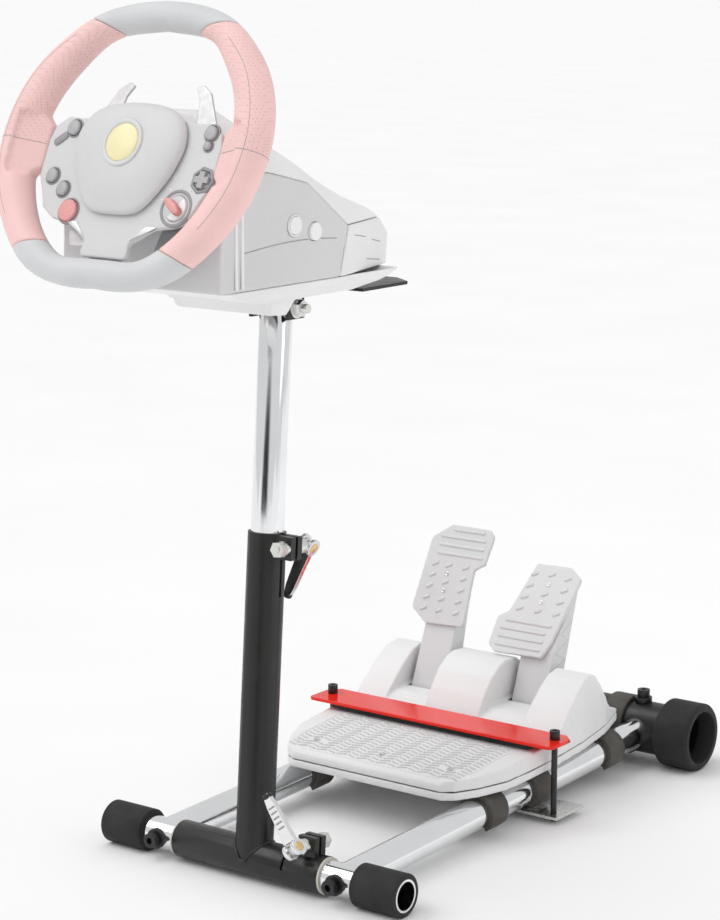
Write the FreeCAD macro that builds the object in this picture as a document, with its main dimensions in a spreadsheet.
"""Racing wheel with a two-pedal set on its folding, height-adjustable floor stand.

Axes while building: X to the driver's right, Y forward from the driver to the pedals, Z up. The floor
is Z = 0, and Y = 0 is the axis of the front cross tube. Everything is moved back by origin_setback at
the end, so that the origin is on the floor under the middle of the whole rig.

Frames used below:
  COLUMN  on the front cross tube's axis, Z along the leaning column
  WHEEL   at the middle of the rim, X right, Y up the rim's plane, Z towards the driver
  PEDALS  at the front of the pedal base's underside, pitched with the rails
"""
import FreeCAD, Part
import math
import os
import Sketcher
from FreeCAD import Placement, Rotation, Vector

X_AXIS = Vector(1, 0, 0)
Y_AXIS = Vector(0, 1, 0)
Z_AXIS = Vector(0, 0, 1)
NO_TURN = Rotation()

# ---------------------------------------------------------------- driving dimensions (millimetres)
DIMENSIONS = {
    "origin_setback": 174.97,
    # floor frame
    "tube_radius": 15.0,
    "tube_wall": 2.0,
    "front_tube_height": 19.6,
    "front_tube_half": 170.5,
    "front_cap_radius": 20.0,
    "front_cap_start": 122.0,
    "rail_spacing": 104.0,
    "rail_reach": 528.0,
    "rear_tube_height": 34.9,
    "rear_tube_radius": 27.0,
    "rear_tube_wall": 3.0,
    "rear_tube_half": 151.0,
    "rear_cap_radius": 35.2,
    "rear_cap_start": 129.4,
    "rear_cap_end": 169.6,
    "rail_ring_radius": 19.5,
    "rail_ring_length": 27.5,
    "rear_ring_radius": 31.0,
    "rear_ring_start": 64.0,
    "rear_ring_length": 24.0,
    "bolt_radius": 4.0,
    "bolt_head_radius": 7.0,
    "bolt_head_height": 8.0,
    # pedal clamp
    "strip_half": 146.0,
    "strip_bottom": 6.0,
    "strip_thickness": 3.0,
    "bar_half": 147.0,
    "bar_bottom": 80.0,
    "bar_thickness": 3.0,
    "bar_depth": 44.0,
    "bar_pad_half": 118.0,
    "bar_pad_thickness": 4.2,
    "clamp_screw_spacing": 134.5,
    "clamp_screw_radius": 3.0,
    "clamp_head_radius": 5.0,
    "clamp_head_height": 9.0,
    # column
    "sleeve_radius": 17.5,
    "sleeve_half": 84.4,
    "sleeve_bore": 16.25,
    "bush_bore": 15.05,
    "bush_length": 20.0,
    "bush_flange": 2.0,
    "column_lean": 4.13,
    "column_top": 301.6,
    "slit_width": 3.2,
    "slit_depth": 58.0,
    "ear_thickness": 6.4,
    "skewer_radius": 3.0,
    "skewer_reach": 27.0,
    "upper_skewer_height": 290.0,
    "lower_skewer_side": 65.5,
    "lower_skewer_height": 25.6,
    "lever_pivot_offset": 26.0,
    "lever_length": 55.6,
    "inner_bottom": 100.0,
    "inner_wall": 1.8,
    "tilt_pivot_height": 504.7,
    "inner_rise": 6.0,
    # mounting plate
    "plate_bottom": 535.0,
    "plate_thickness": 3.0,
    "flange_outside": 22.0,
    "flange_thickness": 3.0,
    "flange_depth": 24.0,
    "flange_drop": 22.3,
    # wheel base housing
    "shell_wall": 2.5,
    "base_floor": 557.0,
    "base_button_radius": 7.5,
    "shaft_radius": 8.0,
    "bearing_radius": 16.0,
    "bearing_width": 10.0,
    # wheel
    "rim_tilt": 24.72,
    "rim_centre_setback": -156.84,
    "rim_centre_height": 670.37,
    "core_radius": 6.5,
    "core_clearance": 0.2,
    "spoke_thickness": 3.9,
    "panel_bottom": -6.0,
    "panel_thickness": 5.0,
    "pad_height": 13.0,
    "badge_radius": 21.0,
    "badge_thickness": 2.2,
    "button_clearance": 0.25,
    # pedals
    "pedal_base_front": 170.0,
    "pedal_base_height": 45.0,
    "pedal_base_pitch": 1.63,
    "pedal_wall": 2.5,
    "pedal_plate_thickness": 4.0,
    "pedal_axle_radius": 4.0,
    "stem_width": 38.0,
}

doc = FreeCAD.newDocument("RacingWheelRig")
sheet = doc.addObject("Spreadsheet::Sheet", "Dimensions")
for row, (alias, value) in enumerate(DIMENSIONS.items(), start=1):
    sheet.set(f"A{row}", alias.replace("_", " "))
    sheet.set(f"B{row}", str(value))
    sheet.setAlias(f"B{row}", alias)
doc.recompute()


def size(text):
    """Value of a sum such as 'tube_radius - tube_wall', read from the sheet."""
    total = 0.0
    sign = 1.0
    for word in str(text).split():
        if word in "+-":
            sign = 1.0 if word == "+" else -1.0
        else:
            total += sign * (float(sheet.get(word)) if word in DIMENSIONS else float(word))
            sign = 1.0
    return total


def formula(text):
    """The same sum as an expression that points at the sheet's cells."""
    return " ".join("Dimensions." + word if word in DIMENSIONS else word for word in str(text).split())


def bind(item, prop, text):
    item.setExpression(prop, formula(text))


# ---------------------------------------------------------------- frames
COLUMN = Placement(Vector(0, 0, size("front_tube_height")), Rotation(X_AXIS, -size("column_lean")))
WHEEL = Placement(
    Vector(0, size("rim_centre_setback"), size("rim_centre_height")),
    Rotation(X_AXIS, 90 - size("rim_tilt")),
)
PEDALS = Placement(
    Vector(0, size("pedal_base_front"), size("pedal_base_height")),
    Rotation(X_AXIS, size("pedal_base_pitch")),
)
RAIL_PITCH = math.degrees(
    math.atan2(size("rear_tube_height - front_tube_height"), size("rail_reach"))
)
ALONG_X = Rotation(Y_AXIS, 90)
ALONG_Y = Rotation(X_AXIS, -90)

SUB_PARTS = []


def sub_part(item, node, place=None):
    """Name a finished sub-part and put it in its place on the rig."""
    item.Label = node
    if place is not None:
        item.Placement = place.multiply(item.Placement)
    SUB_PARTS.append(item)
    return item


# ---------------------------------------------------------------- primitives and booleans
def cylinder(radius, length, position=(0, 0, 0), turn=NO_TURN):
    item = doc.addObject("Part::Cylinder", "Round")
    bind(item, "Radius", radius)
    bind(item, "Height", length)
    item.Placement = Placement(Vector(*position), turn)
    return item


def block(low, high, turn=NO_TURN):
    """Box between two corners."""
    item = doc.addObject("Part::Box", "Block")
    item.Length = high[0] - low[0]
    item.Width = high[1] - low[1]
    item.Height = high[2] - low[2]
    item.Placement = Placement(Vector(*low), turn)
    return item


def fuse(*items):
    item = doc.addObject("Part::MultiFuse", "Fuse")
    item.Shapes = list(items)
    return item


def cut(base, *tools):
    item = doc.addObject("Part::Cut", "Cut")
    item.Base = base
    item.Tool = tools[0] if len(tools) == 1 else fuse(*tools)
    return item


def group(*items):
    """Several separate solids that share one node."""
    item = doc.addObject("Part::Compound", "Group")
    item.Links = list(items)
    return item


def mirrored(source):
    """Copy on the other side of the rig."""
    item = doc.addObject("Part::Mirroring", "Mirror")
    item.Source = source
    item.Normal = X_AXIS
    return item


def hex_head(across_corners, length, position=(0, 0, 0), turn=NO_TURN):
    item = doc.addObject("Part::Prism", "Hexagon")
    item.Polygon = 6
    item.Circumradius = across_corners / 2
    item.Height = length
    item.Placement = Placement(Vector(*position), turn)
    return item


def tube(radius, wall, half_length, position=(0, 0, 0)):
    """Tube along X, centred."""
    x, y, z = position
    low = (x - size(half_length), y, z)
    outer = cylinder(radius, f"{half_length} + {half_length}", low, ALONG_X)
    inner = cylinder(f"{radius} - {wall}", f"{half_length} + {half_length}", low, ALONG_X)
    return cut(outer, inner)


# ---------------------------------------------------------------- sketched bodies
def origin_plane(body, role):
    return [item for item in body.Origin.OriginFeatures if item.Role == role][0]


def outline_sketch(body, points, role):
    """Closed polygon whose corners are all fixed; a text coordinate stays bound to the sheet."""
    sketch = body.newObject("Sketcher::SketchObject", "Outline")
    sketch.AttachmentSupport = (origin_plane(body, role), [""])
    sketch.MapMode = "FlatFace"
    corners = [Vector(size(a), size(b), 0) for a, b in points]
    count = len(corners)
    for i in range(count):
        sketch.addGeometry(Part.LineSegment(corners[i], corners[(i + 1) % count]), False)
    for i in range(count):
        sketch.addConstraint(Sketcher.Constraint("Coincident", i, 2, (i + 1) % count, 1))
    for i, point in enumerate(points):
        for kind, coordinate, axis in (("DistanceX", point[0], -2), ("DistanceY", point[1], -1)):
            if size(coordinate) == 0:
                sketch.addConstraint(Sketcher.Constraint("PointOnObject", i, 1, axis))
                continue
            held = sketch.addConstraint(Sketcher.Constraint(kind, -1, 1, i, 1, size(coordinate)))
            if isinstance(coordinate, str):
                sketch.setExpression(f"Constraints[{held}]", formula(coordinate))
    return sketch


def padded(points, thickness, role="XY_Plane", both_ways=False):
    """Body made by padding a polygon."""
    body = doc.addObject("PartDesign::Body", "Body")
    sketch = outline_sketch(body, points, role)
    pad = body.newObject("PartDesign::Pad", "Pad")
    pad.Profile = sketch
    pad.SideType = "Symmetric" if both_ways else "One side"
    bind(pad, "Length", thickness)
    sketch.Visibility = False
    return body


def rounded_edges(body, radius, picked):
    """Fillet the edges of the body's pad that the test picks out."""
    doc.recompute()
    pad = body.Tip
    names = [f"Edge{i}" for i, edge in enumerate(pad.Shape.Edges, start=1) if picked(edge)]
    fillet = body.newObject("PartDesign::Fillet", "Fillet")
    fillet.Base = (pad, names)
    fillet.Radius = radius
    body.Tip = fillet
    return body


def runs_along(axis):
    """Test for straight edges parallel to an axis."""
    def test(edge):
        if not isinstance(edge.Curve, Part.Line):
            return False
        return abs(edge.Curve.Direction.dot(axis)) > 0.999
    return test


def turned(profile):
    """Body made by revolving a (radius, height) profile about Z."""
    body = doc.addObject("PartDesign::Body", "Turned")
    sketch = outline_sketch(body, profile, "XZ_Plane")
    revolution = body.newObject("PartDesign::Revolution", "Revolution")
    revolution.Profile = sketch
    revolution.ReferenceAxis = (sketch, ["V_Axis"])
    revolution.Angle = 360
    return body


def placed(item, position=(0, 0, 0), turn=NO_TURN):
    item.Placement = Placement(Vector(*position), turn)
    return item


def both_sides(points):
    """Complete a right-hand outline with its mirror image."""
    return points + [(-x, y) for x, y in reversed(points) if x != 0]


def shape_feature(name, shape):
    """Free-form sub-part whose shape comes from the functions below."""
    item = doc.addObject("Part::Feature", name)
    item.Shape = shape
    return item


def polygon_prism(points, start, end, plane):
    """Solid prism: (y, z) points run along X, (x, y) points along Z."""
    if plane == "YZ":
        corners = [Vector(start, a, b) for a, b in points]
        sweep = Vector(end - start, 0, 0)
    else:
        corners = [Vector(a, b, start) for a, b in points]
        sweep = Vector(0, 0, end - start)
    return Part.Face(Part.makePolygon(corners + corners[:1])).extrude(sweep)


# ================================================================ floor frame
FRONT_HEIGHT = size("front_tube_height")
REAR_AXIS = (0, size("rail_reach"), size("rear_tube_height"))
RAIL = Placement(Vector(size("rail_spacing"), 0, FRONT_HEIGHT), Rotation(X_AXIS, RAIL_PITCH - 90))
RING_STARTS = (208.6, 288.7, 424.0)
RING_MOUTH = 26.0
REAR_BOLT_SIDE = 99.0


def build_rails():
    length = math.hypot(size("rail_reach"), size("rear_tube_height - front_tube_height"))
    outer = cylinder("tube_radius", length)
    inner = cylinder("tube_radius - tube_wall", length)
    outer.Placement = RAIL
    inner.Placement = RAIL
    front = cylinder("tube_radius", 80, (64, 0, FRONT_HEIGHT), ALONG_X)
    rear = cylinder("rear_tube_radius", 80, (64,) + REAR_AXIS[1:], ALONG_X)
    rail = cut(outer, inner, front, rear)
    sub_part(group(rail, mirrored(rail)), "side_rails")


def build_cross_tubes():
    holes = [
        cylinder("bolt_radius + 0.2", 60, (side * size("rail_spacing"), -30, FRONT_HEIGHT), ALONG_Y)
        for side in (-1, 1)
    ]
    front = tube("tube_radius", "tube_wall", "front_tube_half", (0, 0, FRONT_HEIGHT))
    sub_part(cut(front, *holes), "front_cross_tube")
    holes = [
        cylinder("bolt_radius + 0.2", 60, (side * REAR_BOLT_SIDE, REAR_AXIS[1], REAR_AXIS[2]))
        for side in (-1, 1)
    ]
    rear = tube("rear_tube_radius", "rear_tube_wall", "rear_tube_half", REAR_AXIS)
    sub_part(cut(rear, *holes), "rear_cross_tube")


def end_cap(bore, radius, start, end, chamfer, centre):
    """Rubber sleeve on a tube's end, flattened where it stands on the floor."""
    length = f"{end} - {start}"
    low = f"{chamfer}"
    profile = [
        (bore, "0"),
        (f"{radius} - {chamfer}", "0"),
        (radius, low),
        (radius, f"{length} - {chamfer}"),
        (f"{radius} - {chamfer}", length),
        (bore, length),
    ]
    sleeve = placed(turned(profile), (size(start), centre[1], centre[2]), ALONG_X)
    floor = block((size(start) - 5, centre[1] - 40, -20), (size(end) + 5, centre[1] + 40, 0))
    cap = cut(sleeve, floor)
    return group(cap, mirrored(cap))


def build_end_caps():
    front = end_cap(
        "tube_radius", "front_cap_radius", "front_cap_start", "front_tube_half", "1.2", (0, 0, FRONT_HEIGHT)
    )
    sub_part(front, "front_end_caps")
    rear = end_cap(
        "rear_tube_radius", "rear_cap_radius", "rear_cap_start", "rear_cap_end", "2.6", REAR_AXIS
    )
    sub_part(rear, "rear_end_caps")


def socket_screw(head_radius, head_height, shank_radius, shank_length):
    """Socket-cap screw along Z: the head's top is at the head height, the shank hangs below 0."""
    head = cylinder(head_radius, head_height)
    shank = cylinder(shank_radius, shank_length, (0, 0, -size(shank_length)))
    socket = hex_head(size(head_radius), size(head_height) / 2, (0, 0, size(head_height) / 2))
    return cut(fuse(head, shank), socket)


def build_frame_bolts():
    """Cross bolts of the front tube, each on a saddle washer, and the upright bolts of the rear tube."""
    bolts = []
    washer_face = size("tube_radius") + 3.0
    for side in (-1, 1):
        x = side * size("rail_spacing")
        screw = socket_screw("bolt_head_radius", "bolt_head_height", "bolt_radius", "48")
        bolts.append(placed(screw, (x, -washer_face, FRONT_HEIGHT), Rotation(X_AXIS, 90)))
        washer = cylinder("bolt_head_radius + 2.5", 5, (x, -washer_face, FRONT_HEIGHT), ALONG_Y)
        hole = cylinder("bolt_radius", 8, (x, -washer_face - 1, FRONT_HEIGHT), ALONG_Y)
        saddle = cylinder("tube_radius", 40, (x - 20, 0, FRONT_HEIGHT), ALONG_X)
        bolts.append(cut(washer, hole, saddle))
        spacer_top = REAR_AXIS[2] + size("rear_tube_radius") + 5.0
        screw = socket_screw("bolt_head_radius - 0.5", "bolt_head_height", "bolt_radius", "26")
        bolts.append(placed(screw, (side * REAR_BOLT_SIDE, REAR_AXIS[1], spacer_top)))
        spacer = cylinder("bolt_head_radius + 2", 8, (side * REAR_BOLT_SIDE, REAR_AXIS[1], spacer_top - 8))
        hole = cylinder("bolt_radius", 10, (side * REAR_BOLT_SIDE, REAR_AXIS[1], spacer_top - 9))
        seat = cylinder("rear_tube_radius", 60, (side * REAR_BOLT_SIDE - 30,) + REAR_AXIS[1:], ALONG_X)
        bolts.append(cut(spacer, hole, seat))
    sub_part(group(*bolts), "frame_bolts")


def build_rubber_rings():
    """Rings on the rails carry the pedal base; two more stop it on the rear tube."""
    rings = []
    for start in RING_STARTS:
        mouth = placed(padded([(0, 0), (RING_MOUTH, 40), (-RING_MOUTH, 40)], "rail_ring_length"))
        ring = cut(
            cylinder("rail_ring_radius", "rail_ring_length"),
            cylinder("tube_radius", "rail_ring_length"),
            mouth,
        )
        ring.Placement = RAIL.multiply(Placement(Vector(0, 0, start), NO_TURN))
        rings += [ring, mirrored(ring)]
    at = (size("rear_ring_start"),) + REAR_AXIS[1:]
    ring = cut(
        cylinder("rear_ring_radius", "rear_ring_length", at, ALONG_X),
        cylinder("rear_tube_radius", "rear_ring_length", at, ALONG_X),
    )
    rings += [ring, mirrored(ring)]
    sub_part(group(*rings), "rubber_rings")


# ================================================================ pedal clamp
CLAMP_LINE = 298.0


def build_pedal_clamp():
    """Strip under the rails and padded bar over the pedal base, pulled together by two long screws."""
    spacing = size("clamp_screw_spacing")
    half = "strip_half"
    strip = padded(
        [(f"- {half}", 285), (half, 285), (half, 335), (f"- {half}", 335)], "strip_thickness"
    )
    placed(strip, (0, 0, size("strip_bottom")))
    holes = [cylinder("clamp_screw_radius + 0.2", 20, (s * spacing, CLAMP_LINE, 0)) for s in (-1, 1)]
    sub_part(cut(strip, *holes), "clamp_strip")

    bar_front = CLAMP_LINE - 25.5
    bar_rear = bar_front + size("bar_depth")
    corner = 10.0
    outline = [
        ("bar_half - 4", bar_front),
        ("bar_half", bar_front + 4),
        ("bar_half", bar_rear - corner),
        (f"bar_half - {corner}", bar_rear),
        (f"- bar_half + {corner}", bar_rear),
        ("- bar_half", bar_rear - corner),
        ("- bar_half", bar_front + 4),
        ("- bar_half + 4", bar_front),
    ]
    bar = placed(padded(outline, "bar_thickness"), (0, 0, size("bar_bottom")))
    reach = size("bar_half") - 8
    lip = block((-reach, bar_front, size("bar_bottom") - 4), (reach, bar_front + 2, size("bar_bottom") + 1))
    holes = [cylinder("clamp_screw_radius + 0.2", 20, (s * spacing, CLAMP_LINE, 70)) for s in (-1, 1)]
    sub_part(cut(fuse(bar, lip), *holes), "clamp_bar")

    pad_half = size("bar_pad_half")
    pad_bottom = size("bar_bottom - bar_pad_thickness")
    pad = block((-pad_half, bar_front + 3, pad_bottom), (pad_half, bar_rear - 5, size("bar_bottom")))
    sub_part(pad, "clamp_bar_pad")

    screws = []
    shank = "bar_bottom + bar_thickness - 1"
    for side in (-1, 1):
        screw = socket_screw("clamp_head_radius", "clamp_head_height", "clamp_screw_radius", shank)
        screws.append(placed(screw, (side * spacing, CLAMP_LINE, size("bar_bottom + bar_thickness"))))
    sub_part(group(*screws), "clamp_screws")


# ================================================================ pedal base (PEDALS frame)
BASE_PLAN = both_sides([
    (88, 0), (100, 8), (113, 30), (124, 62), (126, 100), (125, 150), (121, 205), (112, 262),
    (98, 306), (84, 320),
])
BASE_PROFILE = [
    (0, 0), (0, 15), (4, 19.5), (60, 22.5), (104, 25), (148, 25.5), (160, 31), (172, 36), (212, 37.5),
    (250, 37.5), (285, 20), (316, 9), (320, 0),
]
HUMP_PROFILE = [
    (150, 5), (152, 27), (166, 48), (180, 65), (195, 74.5), (206, 77.5), (226, 75.5), (240, 66), (256, 50),
    (272, 29), (290, 14), (290, 5),
]
SIDE_HUMP_PROFILE = [
    (142, 5), (147, 24), (156, 31), (172, 46), (190, 61), (206, 71), (222, 74), (234, 69), (252, 51),
    (268, 31), (290, 14), (290, 5),
]
SCREW_ROWS = (30.0, 150.0)
BRAKE_SIDE = -62.5
GAS_SIDE = 52.5
SLOT_HALF = 21.5
SLOT_FRONTS = {BRAKE_SIDE: 190.0, GAS_SIDE: 203.0}
SLOT_REAR = 262.0


def base_solid(inset):
    """Outer form of the pedal base, or its hollow when inset by the wall."""
    def shrunk(points, middle):
        return [(a - math.copysign(inset, a - middle), b - inset) for a, b in points]

    plan = [(x - math.copysign(inset, x), min(max(y, inset), 320 - inset)) for x, y in BASE_PLAN]
    whole = polygon_prism(plan, -10, 120, "XY")
    solid = polygon_prism(shrunk(BASE_PROFILE, 160), -130, 130, "YZ")
    humps = [polygon_prism(shrunk(HUMP_PROFILE, 215), -38 + inset, 28 - inset, "YZ")]
    for low, high in ((-130, -87), (77, 130)):
        humps.append(polygon_prism(shrunk(SIDE_HUMP_PROFILE, 215), low + inset, high - inset, "YZ"))
    return solid.fuse(humps).common(whole).removeSplitter()


def build_pedal_base():
    wall = size("pedal_wall")
    outer = base_solid(0.0)
    slots = [
        Part.makeBox(2 * SLOT_HALF, SLOT_REAR - front, 90, Vector(x - SLOT_HALF, front, 14))
        for x, front in SLOT_FRONTS.items()
    ]
    tray_top = 8.0
    above_tray = Part.makeBox(300, 400, 150, Vector(-150, -20, tray_top))
    cover = outer.common(above_tray).cut(base_solid(wall).fuse(slots))
    cover = max(cover.Solids, key=lambda solid: solid.Volume)
    sub_part(shape_feature("PedalBaseCover", cover), "pedal_base_cover", PEDALS)

    tray = outer.cut(above_tray)
    hollow = base_solid(wall).common(Part.makeBox(300, 400, 50, Vector(-150, -20, wall)))
    tray = tray.cut(hollow)
    for x in (BRAKE_SIDE, GAS_SIDE):
        for side in (-1, 1):
            low = x + side * (size("stem_width") / 2 + 5.5) - 2.5
            post = Part.makeBox(5, 22, 24, Vector(low, 205, 0.5))
            hole = Part.makeCylinder(size("pedal_axle_radius"), 9, Vector(low - 2, 216, 17), X_AXIS)
            tray = tray.fuse(post).cut(hole)
    sub_part(shape_feature("PedalBaseTray", tray.removeSplitter()), "pedal_base_tray", PEDALS)

    heads = [
        cut(cylinder(3.2, 6, (x, y, deck_height(y) - 3)), shape_feature("Deck", outer))
        for x in (-80, 0, 80)
        for y in SCREW_ROWS
    ]
    low_heads = [
        cut(head, block((-130, y - 10, deck_height(y) + 1.5), (130, y + 10, 60)))
        for head, y in zip(heads, SCREW_ROWS * 3)
    ]
    sub_part(group(*low_heads), "pedal_base_screws", PEDALS)

    sides = (BRAKE_SIDE, GAS_SIDE)
    axles = [cylinder("pedal_axle_radius", 60, (x - 30, 216, 17), ALONG_X) for x in sides]
    sub_part(group(*axles), "pedal_axles", PEDALS)
    springs = [cylinder(5, 30, (x, 245, 2.6)) for x in sides]
    sub_part(group(*springs), "pedal_springs", PEDALS)


def deck_height(y):
    """Height of the pedal base's flat deck at a distance from its front edge."""
    for (y1, z1), (y2, z2) in zip(BASE_PROFILE[1:], BASE_PROFILE[2:]):
        if y1 <= y <= y2:
            return z1 + (z2 - z1) * (y - y1) / (y2 - y1)


# ================================================================ pedals
BRAKE_PLATE = [
    (-80, -3), (-33, -1), (-34, 59), (-23, 66), (-19, 96), (-26, 103), (-72, 103), (-94, 87), (-100, 11),
]
GAS_PLATE = [
    (5, -7), (61, -5), (67, 12), (77, 84), (61, 95), (21, 94), (7, 39), (-4, 31), (-4, 0),
]


def build_pedal(name, outline, side, foot, plate_lean, stem_lean, plate_low, stem_top):
    """Face plate on a ribbed stem; the stem's foot turns on its axle inside the base."""
    thickness = size("pedal_plate_thickness")
    plate = rounded_edges(padded(outline, "pedal_plate_thickness"), 3.5, runs_along(Z_AXIS))
    place = Placement(Vector(0, plate_low[0], plate_low[1]), Rotation(X_AXIS, 90 - plate_lean))
    sub_part(placed(plate), f"{name}_plate", place)

    pivot = PEDALS.multVec(Vector(0, 216, 17))
    half = size("stem_width") / 2
    lean = math.radians(stem_lean)
    plate_tan = math.tan(math.radians(plate_lean))
    depth = 26.0

    def plate_back(z):
        return plate_low[0] + (z - plate_low[1]) * plate_tan + 0.05

    front_foot = (foot[0] + (pivot.z - foot[1]) * math.tan(lean), pivot.z)
    joint_height = max(plate_low[1] + 4, foot[1] + 20)
    side_view = [
        front_foot,
        (foot[0], foot[1]),
        (plate_back(joint_height), joint_height),
        (plate_back(stem_top), stem_top),
        (plate_back(stem_top) + 6, stem_top - 2),
        (foot[0] + depth + 6, foot[1] + 6),
        (pivot.y + 8, pivot.z),
        (pivot.y, pivot.z - 8),
        (pivot.y - 8, pivot.z - 2),
    ]
    web = 3.0
    cheeks = [
        polygon_prism(side_view, side - half, side - half + web, "YZ"),
        polygon_prism(side_view, side + half - web, side + half, "YZ"),
    ]
    front_face = [
        front_foot,
        (foot[0], foot[1]),
        (plate_back(joint_height), joint_height),
        (plate_back(stem_top), stem_top),
        (plate_back(stem_top) + web, stem_top - 1),
        (plate_back(joint_height) + web, joint_height),
        (foot[0] + web, foot[1]),
        (front_foot[0] + web, front_foot[1]),
    ]
    hub = Part.makeCylinder(8, size("stem_width"), Vector(side - half, pivot.y, pivot.z), X_AXIS)
    stem = cheeks[0].fuse([cheeks[1], polygon_prism(front_face, side - half, side + half, "YZ"), hub])
    bore = size("pedal_axle_radius") + 0.05
    stem = stem.cut(Part.makeCylinder(bore, 80, Vector(side - 40, pivot.y, pivot.z), X_AXIS))
    sub_part(shape_feature(f"{name.title()}Stem", stem.removeSplitter()), f"{name}_stem")


# ================================================================ column (COLUMN frame)
def quick_clamp_ears(position, outward):
    """Two welded ears either side of a slit; the skewer runs along Y."""
    gap = size("slit_width") / 2
    x, z = position
    ears = []
    for side in (-1, 1):
        inner, outer = sorted((side * gap, side * size("slit_width + ear_thickness + ear_thickness") / 2))
        if outward == "X":
            ears.append(block((14, inner, z - 10.5), (x + 7, outer, z + 10.5)))
        else:
            ears.append(block((x - 9.5, inner, 14), (x + 9.5, outer, z + 8)))
    hole = cylinder("skewer_radius + 0.1", 30, (x, -15, z), ALONG_Y)
    return ears, hole


def build_lower_column():
    """Sleeve on the front cross tube with the lower column tube welded upright on it."""
    sleeve = cylinder("sleeve_radius", "sleeve_half + sleeve_half", (-size("sleeve_half"), 0, 0), ALONG_X)
    upright = cylinder("sleeve_radius", "column_top")
    sleeve_bore = cylinder("sleeve_bore", "sleeve_half + sleeve_half", (-size("sleeve_half"), 0, 0), ALONG_X)
    upright_bore = cylinder("bush_bore", "column_top", (0, 0, 19))
    gap = size("slit_width") / 2
    top = size("column_top")
    slits = [
        block((10, -gap, top - size("slit_depth")), (40, gap, top + 5)),
        block((45 - gap, -gap, 10), (size("sleeve_half") + 5, gap, 40)),
        block((45 - gap, -30, 0), (45 + gap, gap, 30)),
    ]
    upper_ears, upper_hole = quick_clamp_ears((size("skewer_reach"), size("upper_skewer_height")), "X")
    lower_ears, lower_hole = quick_clamp_ears((size("lower_skewer_side"), size("lower_skewer_height")), "Z")
    body = fuse(sleeve, upright, *upper_ears, *lower_ears)
    column = cut(body, sleeve_bore, upright_bore, upper_hole, lower_hole, *slits)
    sub_part(column, "lower_column", COLUMN)

    profile = [
        ("bush_bore", "0"), ("sleeve_bore", "0"), ("sleeve_bore", "bush_length"),
        ("sleeve_radius - 0.4", "bush_length"), ("sleeve_radius - 0.4", "bush_length + bush_flange"),
        ("bush_bore", "bush_length + bush_flange"),
    ]
    bush = placed(turned(profile), (size("sleeve_half - bush_length"), 0, 0), ALONG_X)
    sub_part(group(bush, mirrored(bush)), "sleeve_bushes", COLUMN)


def lever_frame(pivot, direction, outward):
    """X along the closed lever, Y outwards along the skewer, Z the cam's hinge."""
    along = Vector(*direction).normalize()
    out = Vector(0, outward, 0)
    return Placement(Vector(*pivot), Rotation(along, out, along.cross(out), "XYZ"))


UPPER_LEVER = lever_frame(
    (size("skewer_reach"), size("lever_pivot_offset"), size("upper_skewer_height")),
    (-0.39, 0, -0.92),
    1,
)
LOWER_LEVER = lever_frame(
    (size("lower_skewer_side"), -size("lever_pivot_offset"), size("lower_skewer_height")),
    (-0.61, 0, 0.79),
    -1,
)
CAM_RADIUS = 8.0
CAM_GAP = 3.5
CAM_CHEEK = 4.0


def skewer():
    """Skewer, its eye and pin in the cam, the washers and the hex nut, in the lever's frame."""
    offset = size("lever_pivot_offset")
    ear = size("slit_width") / 2 + size("ear_thickness")
    nut_height = 8.0
    tail = offset + ear + 5.0
    rod = cylinder("skewer_radius", tail + nut_height, (0, 0, 0), Rotation(X_AXIS, 90))
    eye = cylinder(5, 6.4, (0, 0, -3.2))
    pin = cylinder(2.5, 15, (0, 0, -7.5))
    back = Rotation(X_AXIS, 90)
    cam_face = CAM_RADIUS + 0.3
    washers = cylinder("skewer_radius + 4", offset - ear - cam_face, (0, -cam_face, 0), back)
    spacer = cylinder("skewer_radius + 4", 5, (0, -offset - ear, 0), back)
    nut = hex_head(15.0, nut_height - 1, (0, -tail, 0), back)
    return fuse(rod, eye, pin, washers, spacer, nut)


def build_quick_clamps():
    skewers = []
    for name, frame in (("upper_lever", UPPER_LEVER), ("lower_lever", LOWER_LEVER)):
        item = skewer()
        item.Placement = frame
        skewers.append(item)
        top = CAM_GAP + CAM_CHEEK
        cheeks = [cylinder(CAM_RADIUS, CAM_CHEEK, (0, 0, low)) for low in (CAM_GAP, -top)]
        outline = [
            (0, -top), (20, -6), (44, -5), ("lever_length", -3), ("lever_length", 3), (44, 5), (20, 6),
            (0, top), (0, CAM_GAP), (7, CAM_GAP), (7, -CAM_GAP), (0, -CAM_GAP),
        ]
        arm = placed(padded(outline, "5", "XZ_Plane", True))
        bores = cylinder(2.55, 30, (0, 0, -15))
        lever = cut(fuse(arm, *cheeks), bores)
        lever.Placement = frame
        sub_part(lever, name, COLUMN)
    sub_part(group(*skewers), "clamp_skewers", COLUMN)


def build_inner_column():
    pivot = size("tilt_pivot_height")
    length = "tilt_pivot_height + inner_rise - inner_bottom"
    bottom = (0, 0, size("inner_bottom"))
    outer = cylinder("tube_radius", length, bottom)
    inner = cylinder("tube_radius - inner_wall", length, bottom)
    bolt_hole = cylinder("bolt_radius + 0.05", 60, (-30, 0, pivot), ALONG_X)
    sub_part(cut(outer, inner, bolt_hole), "inner_column", COLUMN)
    low = (size("tube_radius") + 0.1, 0, pivot)
    spacer = cut(
        cylinder("bolt_radius + 5", 3.7, low, ALONG_X),
        cylinder("bolt_radius + 0.05", 3.7, low, ALONG_X),
    )
    sub_part(group(spacer, mirrored(spacer)), "pivot_spacers", COLUMN)


TILT_PIVOT = COLUMN.multVec(Vector(0, 0, size("tilt_pivot_height")))


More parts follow.
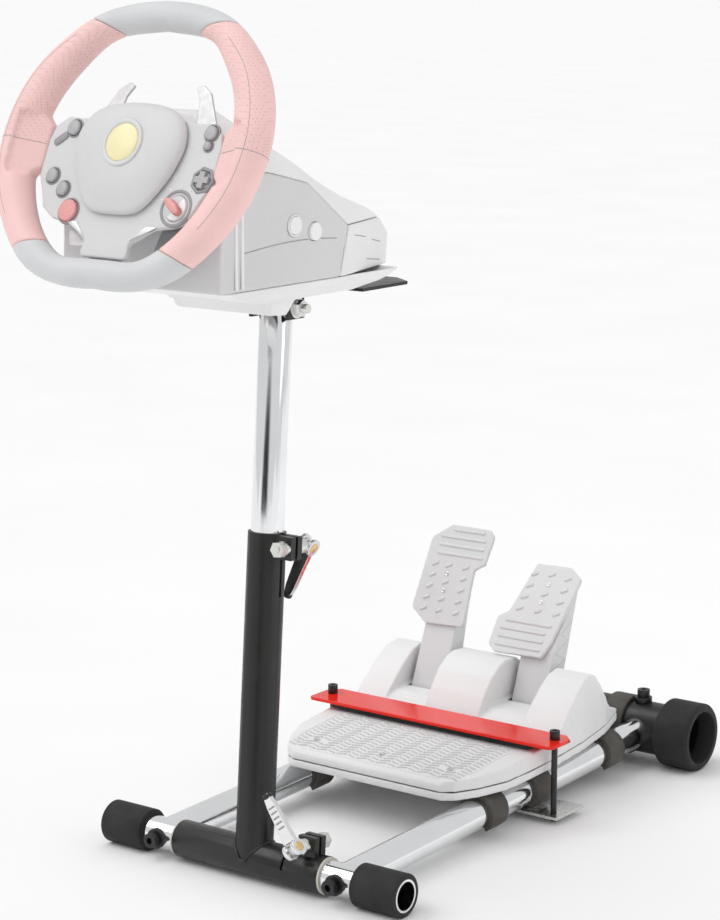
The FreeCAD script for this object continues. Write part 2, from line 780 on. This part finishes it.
def build_mount_plate():
    """Tee-shaped plate with two flanges that straddle the column's top."""
    outline = both_sides([(30, -8), (30, 84), (60, 84), (60, 153), (36, 170)])
    plate = placed(padded(outline, "plate_thickness"), (0, 0, size("plate_bottom")))
    flanges = []
    low_z = size("plate_bottom - flange_drop")
    half = size("flange_depth") / 2
    top = size("plate_bottom") + 1
    for low in (-size("flange_outside"), size("flange_outside - flange_thickness")):
        high = low + size("flange_thickness")
        flanges.append(block((low, TILT_PIVOT.y - half, low_z), (high, TILT_PIVOT.y + half, top)))
    bolt_hole = cylinder("bolt_radius", 60, (-30, TILT_PIVOT.y, TILT_PIVOT.z), ALONG_X)
    screw_holes = [cylinder(3.2, 10, (0, y, size("plate_bottom") - 2)) for y in SCREW_LINE]
    sub_part(cut(fuse(plate, *flanges), bolt_hole, *screw_holes), "mount_plate")


SCREW_LINE = (62.0, 76.0)


def build_head_fasteners():
    """Tilt bolt with its washer and nut, and the two screws that hold the wheel base on the plate."""
    side = size("flange_outside")
    at = (TILT_PIVOT.y, TILT_PIVOT.z)
    shank = cylinder("bolt_radius", 2 * side + 15, (-side - 1,) + at, ALONG_X)
    head = hex_head(15.0, 5.5, (-side - 5.5,) + at, ALONG_X)
    nut = cut(
        hex_head(15.0, 6.5, (side + 1.8,) + at, ALONG_X),
        cylinder("bolt_radius", 10, (side,) + at, ALONG_X),
    )
    washer = cut(
        cylinder(9.5, 1.7, (side + 0.05,) + at, ALONG_X),
        cylinder("bolt_radius", 10, (side - 1,) + at, ALONG_X),
    )
    screws = []
    for y in SCREW_LINE:
        below = size("plate_bottom")
        shaft = cylinder(3, 14, (0, y, below - 1))
        screws.append(fuse(shaft, cylinder(5, 4, (0, y, below - 4))))
    sub_part(group(fuse(shank, head), nut, washer, *screws), "head_fasteners")


# ================================================================ wheel base
# Each row: y, then (half width, height) of the lower edge, crease, shoulder and crown.
HOOD_SECTIONS = [
    (-160, (86, 0), (88, 655), (73, 675), (30, 702)),
    (-83, (86, 0), (88, 653), (73, 675), (30, 702)),
    (-31, (86, 0), (88, 641), (72, 657), (30, 677)),
    (26, (86, 0), (88, 601), (72, 626), (30, 649)),
    (98, (66, 0), (68, 601), (54, 609), (22, 614)),
    (119, (60, 0), (62, 585), (50, 590), (20, 593)),
]
FRONT_FACE = [(-148, 540), (-145, 620), (-110, 706), (-110, 800), (200, 800), (200, 540)]
CREASE_LINE = [(-170, 655), (-83, 653), (-31, 641), (26, 601), (98, 601), (130, 601)]
BASE_BUTTONS = {"base_button_front": -49.7, "base_button_rear": -21.5}
BASE_BUTTON_HEIGHTS = {"base_button_front": 606.6, "base_button_rear": 599.5}


def hood_solid(inset, floor):
    """Ruled form of the wheel base through its cross sections."""
    wires = []
    for y, *corners in HOOD_SECTIONS:
        y = min(y, 119 - inset)
        right = [(x - inset, (floor if z == 0 else z - inset)) for x, z in corners]
        loop = [Vector(x, y, z) for x, z in right] + [Vector(-x, y, z) for x, z in reversed(right)]
        wires.append(Part.makePolygon(loop + loop[:1]))
    solid = Part.makeLoft(wires, True, True)
    front = [(y + (1.3 * inset if y < 100 else 0), z) for y, z in FRONT_FACE]
    return solid.common(polygon_prism(front, -120, 120, "YZ"))


def build_wheel_base():
    floor = size("base_floor")
    wall = size("shell_wall")
    shell = hood_solid(0, floor).cut(hood_solid(wall, floor - 5))
    mouth = WHEEL.multVec(Vector(0, 0, -60))
    toward_driver = WHEEL.Rotation.multVec(Z_AXIS)
    shell = shell.cut(Part.makeCylinder(size("shaft_radius") + 6, 60, mouth, toward_driver))
    for node, y in BASE_BUTTONS.items():
        place = Vector(70, y, BASE_BUTTON_HEIGHTS[node])
        radius = size("base_button_radius + button_clearance")
        shell = shell.cut(Part.makeCylinder(radius, 30, place, X_AXIS))
    above = polygon_prism(CREASE_LINE + [(130, 800), (-170, 800)], -120, 120, "YZ")
    behind = polygon_prism([(26, 601), (16, 557), (14, 548), (140, 548), (140, 601)], -120, 120, "YZ")
    top = shell.common(above)
    rest = shell.cut(above)
    rear = rest.common(behind)
    sides = rest.cut(behind)
    socket = Part.makeBox(12, 14, 9, Vector(-30, 108, 564))
    socket_shell = Part.makeBox(16, 12, 13, Vector(-32, 106, 562))
    rear = rear.fuse(socket_shell.common(hood_solid(0, floor))).cut(socket)
    sub_part(shape_feature("BaseTopCover", top.removeSplitter()), "base_top_cover")
    sub_part(shape_feature("BaseRearCap", rear.removeSplitter()), "base_rear_cap")
    sub_part(shape_feature("BaseHousing", sides.removeSplitter()), "base_housing")
    build_belly(floor)
    build_base_internals(floor)


def build_belly(floor):
    """Bottom tray that stands on the mounting plate, with its clamp nose and two bearing posts."""
    rim = floor - 0.1
    side_view = [
        (-140, rim), (-112, 551), (-98, 547), (-56, 538.2), (-42, 538.2), (-39, 526), (-15, 524),
        (-10, 538.2), (70, 538.2), (96, 545), (112, rim),
    ]
    front_view = both_sides([(82, rim), (74, 548), (58, 538), (50, 520)])

    def pan(inset):
        profile = [(y - math.copysign(inset, y - 10), z + inset) for y, z in side_view]
        long = polygon_prism(profile, -90, 90, "YZ")
        corners = [
            Vector(x - math.copysign(inset, x), -150, z + (inset if z < 530 else 0)) for x, z in front_view
        ]
        across = Part.Face(Part.makePolygon(corners + corners[:1])).extrude(Vector(0, 300, 0))
        return long.common(across)

    nose = Part.makeBox(100, 22, 10, Vector(-50, -37, 527))
    belly = pan(0).cut(pan(2.5).cut(nose))
    for centre, foot, crown in ((-112, 552, 668), (-75, 540, 648)):
        belly = belly.fuse(Part.makeBox(52, 12, crown - foot, Vector(-26, centre - 6, foot)))
    start = WHEEL.multVec(Vector(0, 0, -120))
    axis = WHEEL.Rotation.multVec(Z_AXIS)
    belly = belly.cut(Part.makeCylinder(size("bearing_radius"), 120, start, axis))
    for y in SCREW_LINE:
        belly = belly.cut(Part.makeCylinder(3.0, 20, Vector(0, y, 530), Z_AXIS))
    sub_part(shape_feature("BaseBelly", belly.removeSplitter()), "base_belly")


BEARING_PLACES = (-54.5, -95.0)


def build_base_internals(floor):
    rings = []
    for low in BEARING_PLACES:
        rings.append(cut(
            cylinder("bearing_radius", "bearing_width", (0, 0, low)),
            cylinder("shaft_radius + 0.05", "bearing_width", (0, 0, low)),
        ))
    sub_part(group(*rings), "shaft_bearings", WHEEL)
    spring = cut(cylinder(16, 9, (0, 0, -73)), cylinder("shaft_radius + 1.5", 9, (0, 0, -73)))
    sub_part(spring, "centring_spring", WHEEL)
    board = block((-45, 20, floor + 4), (45, 82, floor + 5.6))
    legs = [cylinder(2.5, 17, (x, y, floor - 13)) for x in (-38, 38) for y in (27, 75)]
    sub_part(fuse(board, *legs), "base_circuit_board")
    for node, y in BASE_BUTTONS.items():
        button = cylinder("base_button_radius", 7.5, (81.5, y, BASE_BUTTON_HEIGHTS[node]), ALONG_X)
        flange = cylinder("base_button_radius + 1.5", 1.6, (80, y, BASE_BUTTON_HEIGHTS[node]), ALONG_X)
        sub_part(fuse(button, flange), node)


# ================================================================ wheel (WHEEL frame)
# Right half of the rim from the top round to the bottom: outer point, inner point, half depth.
RIM_SECTIONS = [
    ((0, 132.6), (0, 107.4), 13.0),
    ((43, 128), (38, 103.5), 13.2),
    ((81, 112.5), (64, 92.5), 14.0),
    ((111, 86), (84.5, 69), 15.5),
    ((131, 54), (99, 45), 16.5),
    ((139.8, 20), (105, 19), 16.5),
    ((139.5, -10), (104.5, -8), 16.5),
    ((132.5, -39), (99, -31), 16.0),
    ((116, -69), (87, -55), 15.0),
    ((94.5, -93.5), (71, -74.5), 14.0),
    ((71, -109.5), (54.5, -87.5), 13.0),
    ((42, -117.5), (38, -93.7), 12.2),
    ((0, -118.2), (0, -94.0), 12.2),
]


def oval(centre, radial, half_width, half_depth):
    """Closed smooth section across the rim."""
    points = []
    for step in range(12):
        angle = 2 * math.pi * step / 12
        across = radial * (half_width * math.cos(angle))
        points.append(centre + across + Z_AXIS * (half_depth * math.sin(angle)))
    curve = Part.BSplineCurve()
    curve.interpolate(points, PeriodicFlag=True)
    return Part.Wire(curve.toShape())


def rim_loop():
    """Sections of the right half, and one mirrored neighbour at each end so the halves meet smoothly."""
    middle = [(1, section) for section in RIM_SECTIONS]
    return [(-1, RIM_SECTIONS[1])] + middle + [(-1, RIM_SECTIONS[-2])]


def rim_solid(fixed_radius=None):
    """Closed rim through its sections, or its round core when a radius is given."""
    wires = []
    for side, (outer, inner, depth) in rim_loop():
        outer_point = Vector(*outer, 0)
        inner_point = Vector(*inner, 0)
        radial = (outer_point - inner_point).normalize()
        half_width = fixed_radius or (outer_point - inner_point).Length / 2
        section = oval((outer_point + inner_point) / 2, radial, half_width, fixed_radius or depth)
        wires.append(section if side > 0 else section.mirror(Vector(0, 0, 0), X_AXIS))
    right = Part.makeLoft(wires, True, False).common(Part.makeBox(200, 400, 100, Vector(0, -200, -50)))
    left = right.mirror(Vector(0, 0, 0), X_AXIS)
    return right, left


TOP_SEAM = (0.305, 90.5)
BOTTOM_SEAM = (-0.342, -60.8)
SEAM_REACH = 170.0
PANEL_OUTLINE = both_sides([
    (44, 31), (62, 28), (78, 29), (90, 20), (93.5, 8), (93.5, -24), (86, -38), (80, -52), (66, -61),
    (46, -64), (24, -78), (26, -91.5),
])
PAD_OUTLINE = both_sides([
    (0, 43.5), (28, 41.5), (46, 35), (57, 22), (60.5, 4), (52, -22), (36, -46), (24, -55.5),
])
BADGE_HEIGHT = 4.0
BUTTONS = {
    "button_left_upper": (-68, 18.5, 6.5),
    "button_left_middle": (-77.5, -24.5, 6.0),
    "button_left_lower": (-62, -35.5, 6.0),
    "start_button": (-49.5, -54, 9.5),
    "button_right_upper": (80, 20, 6.0),
    "button_right_small": (80, 9, 3.5),
}
D_PAD_PLACE = (83.5, -20)
KNOB_PLACE = (64, -45)


def box_between(low, high, margin):
    """Box between two corners, grown by a margin on every side."""
    spans = [b - a + 2 * margin for a, b in zip(low, high)]
    return Part.makeBox(*spans, Vector(*[a - margin for a in low]))


def build_rim():
    """Padded rim in four covers over a metal core with three spokes."""
    core_right, core_left = rim_solid(size("core_radius"))
    hole_right, hole_left = rim_solid(size("core_radius + core_clearance"))
    right, left = rim_solid()
    roots = []
    for side in (-1, 1):
        low, high = sorted((side * 94.0, side * 118.0))
        roots.append(Part.makeBox(high - low, 36, 18, Vector(low, -16.5, -10)))
    rim = right.fuse([left] + roots)

    thickness = size("spoke_thickness")
    plate_low = size("panel_bottom") - 0.1 - thickness
    plate_top = plate_low + thickness
    spokes = [
        ((-120, -12, plate_low), (120, 12, plate_top)),
        ((-18, -106, plate_low), (18, 0, plate_top)),
        ((104, -10, plate_low), (122, 10, plate_low + 10)),
        ((-122, -10, plate_low), (-104, 10, plate_low + 10)),
        ((-15, -112, plate_low), (15, -100, plate_low + 10)),
    ]
    core = core_right.fuse(core_left)
    core = core.fuse(Part.makeCylinder(30, thickness, Vector(0, 0, plate_low)))
    for low, high in spokes:
        core = core.fuse(box_between(low, high, 0))
    socket = Part.makeCylinder(size("shaft_radius"), thickness + 2, Vector(0, 0, plate_low - 1))
    sub_part(shape_feature("RimCore", core.cut(socket)), "rim_core", WHEEL)

    rim = rim.cut(hole_right).cut(hole_left)
    for low, high in spokes:
        rim = rim.cut(box_between(low, high, size("core_clearance")))

    def wedge(seam, far):
        slope, start = seam
        edge = start + slope * SEAM_REACH
        corners = [(0, start), (SEAM_REACH, edge), (SEAM_REACH, far), (-SEAM_REACH, far), (-SEAM_REACH, edge)]
        return polygon_prism(corners, -40, 40, "XY")

    top = wedge(TOP_SEAM, 170)
    bottom = wedge(BOTTOM_SEAM, -170)
    sides = rim.cut([top, bottom])
    for node, side in (("grip_left", -1), ("grip_right", 1)):
        half = Part.makeBox(200, 400, 100, Vector(0 if side > 0 else -200, -200, -50))
        sub_part(shape_feature("SideGrip", sides.common(half)), node, WHEEL)
    sub_part(shape_feature("TopGrip", rim.common(top)), "grip_top", WHEEL)
    sub_part(shape_feature("BottomGrip", rim.common(bottom)), "grip_bottom", WHEEL)


def build_hub():
    """Front panel with its controls, domed centre pad with the badge, and the back cover."""
    clearance = "button_clearance"
    panel = rounded_edges(padded(PANEL_OUTLINE, "panel_thickness"), 4.0, runs_along(Z_AXIS))
    placed(panel, (0, 0, size("panel_bottom")))
    holes = [cylinder(f"{radius} + {clearance}", 20, (x, y, -12)) for x, y, radius in BUTTONS.values()]
    holes.append(cylinder(8.6, 20, D_PAD_PLACE + (-12,)))
    holes.append(cylinder(f"11 + {clearance}", 20, KNOB_PLACE + (-12,)))
    sub_part(cut(panel, *holes), "hub_panel", WHEEL)

    top = size("panel_bottom + panel_thickness")
    layers = ((1.0, 0.0), (0.94, 6.0), (0.74, 11.5), (0.5, size("pad_height")))
    wires = []
    for scale, rise in layers:
        loop = [
            Vector(x * scale, BADGE_HEIGHT + (y - BADGE_HEIGHT) * scale, top + rise) for x, y in PAD_OUTLINE
        ]
        wires.append(Part.makePolygon(loop + loop[:1]))
    sub_part(shape_feature("HubPad", Part.makeLoft(wires, True, True)), "hub_pad", WHEEL)
    badge_low = (0, BADGE_HEIGHT, top + size("pad_height"))
    ring = cylinder("badge_radius", "badge_thickness - 0.7", badge_low)
    disc = cylinder("badge_radius - 4.5", "badge_thickness", badge_low)
    sub_part(fuse(ring, disc), "badge", WHEEL)

    inside = [(x * 0.93, y * 0.93) for x, y in PANEL_OUTLINE if y > -70]
    back_low = -15.5
    rear = size("panel_bottom") - 0.2 - size("spoke_thickness")
    shell = polygon_prism(inside, back_low, rear, "XY")
    hollow = polygon_prism([(x * 0.95, y * 0.94) for x, y in inside], back_low + 2, rear + 1, "XY")
    shell = shell.cut(hollow).cut(Part.makeCylinder(12, 20, Vector(0, 0, -25)))
    for side in (-1, 1):
        for low in (-14, 10):
            lug = Part.makeBox(8, 4, 10.0, Vector(side * PADDLE_HINGE - 4, low, -25))
            shell = shell.fuse(lug)
        pin = Part.makeCylinder(1.5, 24, Vector(side * PADDLE_HINGE, -12, PADDLE_LEVEL), Y_AXIS)
        shell = shell.fuse(pin)
    sub_part(shape_feature("HubBackCover", shell.removeSplitter()), "hub_back_cover", WHEEL)

    shaft = cylinder("shaft_radius", 112, (0, 0, -118))
    sub_part(shaft, "steering_shaft", WHEEL)


PADDLE_HINGE = 34.0
PADDLE_LEVEL = -21.5
PADDLE_OUTLINE = [
    (-34, 8), (-44, 34), (-40, 56), (-34, 66), (-40, 69), (-50, 62), (-64, 36), (-72, 0), (-66, -44),
    (-58, -78), (-36, -77), (-40, -50), (-50, -20), (-34, -8),
]


def build_paddle(node, side):
    """Thin metal blade on a hinge knuckle behind the hub."""
    outline = PADDLE_OUTLINE if side < 0 else [(-x, y) for x, y in reversed(PADDLE_OUTLINE)]
    blade = placed(padded(outline, "2.4"), (0, 0, PADDLE_LEVEL - 1.2))
    at = (side * PADDLE_HINGE, -9.7, PADDLE_LEVEL)
    knuckle = cylinder(3.4, 19.4, at, ALONG_Y)
    bore = cylinder(1.55, 40, (at[0], -20, at[2]), ALONG_Y)
    lug_room = [
        block((at[0] - 5.5, low, -27), (at[0] + 5.5, low + 5.6, -14)) for low in (-15.3, 9.7)
    ]
    sub_part(cut(fuse(blade, knuckle), bore, *lug_room), node, WHEEL)


def build_controls():
    low = size("panel_bottom") + 1.5
    for node, (x, y, radius) in BUTTONS.items():
        profile = [(0, 0), (radius, 0), (radius, 5.6), (radius - 0.9, 6.6), (0, 6.9)]
        sub_part(placed(turned(profile), (x, y, low)), node, WHEEL)

    ring = cut(cylinder(7.8, 1.8, (0, 0, 0.8)), cylinder(4.0, 4, (0, 0, 0)))
    sub_part(placed(ring, D_PAD_PLACE + (size("panel_bottom"),)), "d_pad_ring", WHEEL)
    disc = cylinder(7.6, 1.6, (0, 0, 3.3))
    arms = [block((-7.0, -2.6, 4.4), (7.0, 2.6, 7.8)), block((-2.6, -7.0, 4.4), (2.6, 7.0, 7.8))]
    sub_part(placed(fuse(disc, *arms), D_PAD_PLACE + (size("panel_bottom"),)), "d_pad", WHEEL)

    knob = fuse(
        cylinder(11, 4.6, (0, 0, 0.8)),
        block((-2.6, -9.5, 5.0), (2.6, 9.5, 12.0)),
    )
    sub_part(placed(knob, KNOB_PLACE + (size("panel_bottom"),), Rotation(Z_AXIS, -35)), "mode_knob", WHEEL)
    build_paddle("paddle_left", -1)
    build_paddle("paddle_right", 1)


# ================================================================ assembly
build_rails()
build_cross_tubes()
build_end_caps()
build_frame_bolts()
build_rubber_rings()
build_pedal_clamp()
build_pedal_base()
build_pedal("brake", BRAKE_PLATE, BRAKE_SIDE, (363, 88), 22, 22, (388, 150), 232)
build_pedal("gas", GAS_PLATE, GAS_SIDE, (376, 88), 34, 19, (392, 135), 196)
build_lower_column()
build_quick_clamps()
build_inner_column()
build_mount_plate()
build_head_fasteners()
build_wheel_base()
build_rim()
build_hub()
build_controls()
doc.recompute()

BACK = Placement(Vector(0, -size("origin_setback"), 0), NO_TURN)
for item in SUB_PARTS:
    item.Placement = BACK.multiply(item.Placement)
doc.recompute()

problems = [f"{item.Label}: {item.State}" for item in doc.Objects if {"Invalid", "Error"} & set(item.State)]
for item in SUB_PARTS:
    if item.Shape.isNull() or not item.Shape.isValid() or not item.Shape.Solids:
        problems.append(f"{item.Label}: bad shape")
if problems:
    raise RuntimeError("; ".join(problems))

os.makedirs("parts", exist_ok=True)
for item in SUB_PARTS:
    item.Shape.exportStep(f"parts/{item.Label}.step")
print(len(SUB_PARTS), "sub-parts written")
